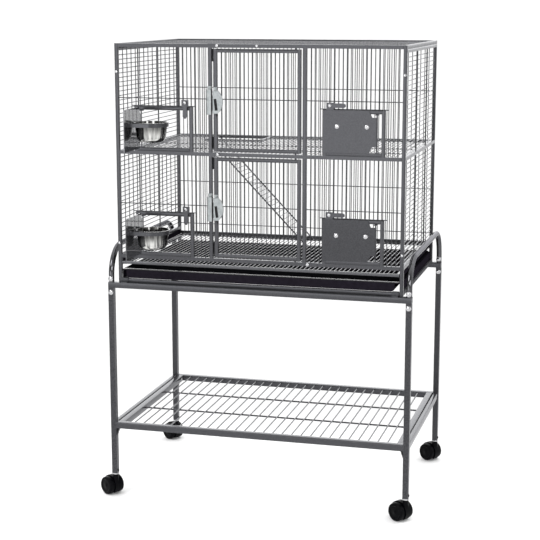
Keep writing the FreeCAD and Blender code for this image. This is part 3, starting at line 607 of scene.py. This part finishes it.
def dress_tray(node):
    """Matt pan with a glossy flat rim along its front edge, its inside painted blacker as painted shade."""
    rim_material, painted_shade_material = 1, 2
    shape = smoothed(node)
    low, high = [Vector(c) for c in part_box(node)]
    # Every face behind the front face takes the darker copy: painted shade inside the tray
    for face in shape.faces:
        if face.calc_center_median().y > low.y + RIM_PROUD:
            face.material_index = painted_shade_material
    rim_low = Vector((low.x, low.y - RIM_PROUD, high.z - RIM_SHEET))
    rim_high = Vector((high.x, low.y + RIM_DEPTH, high.z + RIM_PROUD))
    add_bar(shape, rim_low, rim_high, SHEET_EDGE, rim_material)
    finish_piece(node, shape, [slot_of[node], "tray_rim", "tray_well"])


def dress_bolts(node, outward):
    """Domed heads on the places of the node's bolt heads."""
    shape = bmesh.new()
    for solid in closed_solids(node):
        low, high = corners_of(solid)
        size = high - low
        axis = min(range(3), key=lambda i: size[i])
        middle = (low + high) / 2
        direction = Vector((0, 0, 0))
        direction[axis] = outward(middle, axis)
        base = middle - direction * size[axis] / 2
        add_dome(shape, base, direction, max(size) / 2, size[axis])
    finish_piece(node, shape, [slot_of[node]])


def dress_tab_bolts(node):
    """Shouldered bolts under the turning tabs' heads."""
    shape = bmesh.new()
    for solid in closed_solids(node):
        low, high = corners_of(solid)
        middle = (low + high) / 2
        face = Vector((middle.x, low.y + TAB_BOLT_HEAD, middle.z))
        add_rod(shape, Vector((middle.x, high.y, middle.z)), face, TAB_BOLT_RADIUS)
        add_dome(shape, face, FORWARD, (high.x - low.x) / 2, TAB_BOLT_HEAD)
    finish_piece(node, shape, [slot_of[node]])


def dress_ring(node):
    """Bent bar of a bowl ring, the node's first solid, with its two bright domed bolts."""
    shape = bmesh.new()
    bar, *bolts = closed_solids(node)
    bar_low, bar_high = corners_of(bar)
    bar_middle = (bar_low + bar_high) / 2
    add_solid(shape, bar)
    for bolt in bolts:
        low, high = corners_of(bolt)
        middle = (low + high) / 2
        size = high - low
        axis = min(range(2), key=lambda i: size[i])
        outward = Vector((0, 0, 0))
        outward[axis] = 1 if middle[axis] > bar_middle[axis] else -1
        base = middle - outward * size[axis] / 2
        add_dome(shape, base, outward, size.z / 2, size[axis], material=1)
    finish_piece(node, shape, [slot_of[node], "bright_bolt"])


def bowl_curve(wall):
    """Round lower side of a bowl from foot to belly, as radius and height, a wall in from the outside."""
    foot, foot_height = BOWL_FOOT - wall, wall
    belly = BOWL_BELLY - wall
    points = []
    for i in range(BOWL_CURVE_STEPS + 1):
        turn = math.pi / 2 * i / BOWL_CURVE_STEPS
        radius = foot + (belly - foot) * math.sin(turn)
        height = BOWL_BELLY_HEIGHT - (BOWL_BELLY_HEIGHT - foot_height) * math.cos(turn)
        points.append((radius, height))
    return points


def dress_bowl(node):
    """Spun steel bowl, round below, with a rolled rim."""
    low, high = [Vector(c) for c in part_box(node)]
    middle = (low + high) / 2
    depth = high.z - low.z
    radius = max(high.x - low.x, high.y - low.y) / 2
    side = radius - BOWL_RIM
    lip = BOWL_WALL / 2
    outside = [(AXIS_GAP, 0)] + bowl_curve(0)
    rim = [(side, depth - BOWL_WALL), (radius - lip, depth - BOWL_WALL), (radius, depth - lip),
           (radius - lip, depth), (side - lip, depth), (side - BOWL_WALL, depth - lip)]
    inside = bowl_curve(BOWL_WALL)[::-1] + [(AXIS_GAP, BOWL_WALL)]
    shape = bmesh.new()
    add_lathe(shape, outside + rim + inside, Vector((middle.x, middle.y, low.z)), UP)
    finish_piece(node, shape, [slot_of[node]])


def u_path(front, back, foot, top):
    """Middle line of a bent tube, up at the front and down at the back: Y and Z."""
    path = [(front, foot)]
    for side, edge in ((-1, front), (1, back)):
        for i in range(BEND_STEPS + 1):
            share = i / BEND_STEPS
            turn = math.pi / 2 * (share if side < 0 else 1 - share)
            y = edge - side * U_BEND * (1 - math.cos(turn))
            z = top - U_BEND * (1 - math.sin(turn))
            path.append((y, z))
    path.append((back, foot))
    return path


def dress_u_frame(node):
    """Round bent tube."""
    low, high = [Vector(c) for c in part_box(node)]
    radius = (high.x - low.x) / 2
    x = (low.x + high.x) / 2
    path = u_path(low.y + radius, high.y - radius, low.z, high.z - radius)
    loops = []
    for i, (y, z) in enumerate(path):
        before, after = path[max(i - 1, 0)], path[min(i + 1, len(path) - 1)]
        along = Vector((0, after[0] - before[0], after[1] - before[1])).normalized()
        loops.append(circle(Vector((x, y, z)), ACROSS, along.cross(ACROSS), radius, TUBE_SIDES))
    shape = bmesh.new()
    add_loops(shape, loops, 0)
    finish_piece(node, shape, ["tube_coat"])


def dress_collars(node):
    """Turned rings under the legs."""
    shape = bmesh.new()
    for solid in closed_solids(node):
        low, high = corners_of(solid)
        middle = (low + high) / 2
        radius = (high.x - low.x) / 2
        height = high.z - low.z
        chamfer = COLLAR_CHAMFER_SHARE * height
        profile = [(radius - chamfer, 0), (radius, chamfer),
                   (radius, height - chamfer), (radius - chamfer, height)]
        add_lathe(shape, profile, Vector((middle.x, middle.y, low.z)), UP)
    finish_piece(node, shape, [slot_of[node]])


def dress_wheels(node):
    """Twin wheels with round treads and dished sides on their axle."""
    joint = joint_of[node.replace("_caster_wheels", "_wheel_roll")]
    centre = Vector(joint["pos_m"])
    radius = centre.z
    outer = WHEEL_INNER + WHEEL_WIDTH
    dish = outer - WHEEL_DISH
    tread = [(AXLE_RADIUS, WHEEL_INNER), (radius - WHEEL_DISH, WHEEL_INNER),
             (radius, WHEEL_INNER + WHEEL_DISH)]
    tread += [(radius - inwards * WHEEL_DISH, outer - back * WHEEL_DISH) for inwards, back in TREAD_EDGE]
    side = [(DISH_EDGE_SHARE * radius, outer), (DISH_FLOOR_SHARE * radius, dish),
            (AXLE_RADIUS + WHEEL_DISH, dish), (AXLE_RADIUS, outer - AXLE_END), (AXIS_GAP, outer - AXLE_END)]
    half = tread + side
    profile = [(r, -h) for r, h in reversed(half)] + half
    shape = bmesh.new()
    add_lathe(shape, profile, centre, Vector(joint["axis"]))
    finish_piece(node, shape, [slot_of[node]])


# The way a bolt head looks along its axis, from the middle of the head

def away_from_middle(middle, axis):
    return 1 if middle[axis] > 0 else -1


def towards_middle(middle, axis):
    return -away_from_middle(middle, axis)


def to_the_right(middle, axis):
    return 1


def to_the_front(middle, axis):
    return -1


BOLT_NODES = {
    "panel_bolts": away_from_middle,
    "stand_bolts": to_the_front,
    "shelf_bolts": towards_middle,
    "caster_grip_screws": to_the_right,
}


def dress_everything():
    """A look piece for every CAD node."""
    for node in sorted(frame["nodes"]):
        if node in BOLT_NODES:
            dress_bolts(node, BOLT_NODES[node])
        elif node == "turn_tab_bolts":
            dress_tab_bolts(node)
        elif node.endswith("_bowl_ring"):
            dress_ring(node)
        elif node.endswith("_bowl"):
            dress_bowl(node)
        elif node.endswith("_caster_wheels"):
            dress_wheels(node)
        elif node.endswith("_u_frame"):
            dress_u_frame(node)
        elif node == "leg_collars":
            dress_collars(node)
        elif node == "tray":
            dress_tray(node)
        elif node in ("left_panel", "right_panel"):
            dress_side(node)
        else:
            dress(node)


# Stage

def add_floor():
    """Wide floor a hair below the wheels."""
    mesh = bpy.data.meshes.new("floor")
    corners = [(-FLOOR_HALF, -FLOOR_HALF, 0), (FLOOR_HALF, -FLOOR_HALF, 0),
               (FLOOR_HALF, FLOOR_HALF, 0), (-FLOOR_HALF, FLOOR_HALF, 0)]
    mesh.from_pydata(corners, [], [(0, 1, 2, 3)])
    mesh.materials.append(floor_with_painted_light())
    floor = bpy.data.objects.new("floor", mesh)
    floor.location.z = -FLOOR_DROP
    bpy.context.scene.collection.objects.link(floor)


def add_softbox(name, at, aim, width, height, power):
    """Rectangular lamp that is turned to a point."""
    light = bpy.data.lights.new(name, "AREA")
    light.shape = "RECTANGLE"
    light.size = width
    light.size_y = height
    light.energy = power
    lamp = bpy.data.objects.new(name, light)
    lamp.location = at
    lamp.rotation_euler = (Vector(aim) - Vector(at)).to_track_quat("-Z", "Y").to_euler()
    bpy.context.scene.collection.objects.link(lamp)


def add_surround():
    """White surround, fixed in the frame, that fades to dim in front of the object."""
    world = bpy.data.worlds.new("studio")
    world.use_nodes = True
    nodes = world.node_tree.nodes
    backdrop = nodes["Background"]
    backdrop.inputs["Color"].default_value = WHITE
    direction = nodes.new("ShaderNodeTexCoord")
    facing = nodes.new("ShaderNodeVectorMath")
    facing.operation = "DOT_PRODUCT"
    facing.inputs[1].default_value = BRIGHT_POLE
    world.node_tree.links.new(direction.outputs["Generated"], facing.inputs[0])
    strength = backdrop.inputs["Strength"]
    ramp_value(world, facing.outputs["Value"], strength, SURROUND_STRENGTH, SURROUND_SPAN)
    bpy.context.scene.world = world


def add_light():
    """Surround and softboxes, shown in plain tones."""
    add_surround()
    for name, box in SOFTBOXES.items():
        add_softbox(name, **box)
    bpy.context.scene.view_settings.view_transform = "Standard"


def add_camera():
    """The photograph's camera."""
    lens = bpy.data.cameras.new("photo_camera")
    lens.sensor_width = SENSOR_MM
    lens.lens = SENSOR_MM * FOCAL_PX / PHOTO_PX
    lens.clip_end = 2 * FLOOR_HALF
    camera = bpy.data.objects.new("photo_camera", lens)
    camera.location = CAMERA_AT
    level = math.cos(CAMERA_PITCH)
    forward = Vector((-math.sin(CAMERA_YAW) * level,
                      math.cos(CAMERA_YAW) * level,
                      -math.sin(CAMERA_PITCH)))
    camera.rotation_euler = forward.to_track_quat("-Z", "Y").to_euler()
    bpy.context.scene.collection.objects.link(camera)
    bpy.context.scene.camera = camera


dress_everything()
add_floor()
add_light()
add_camera()
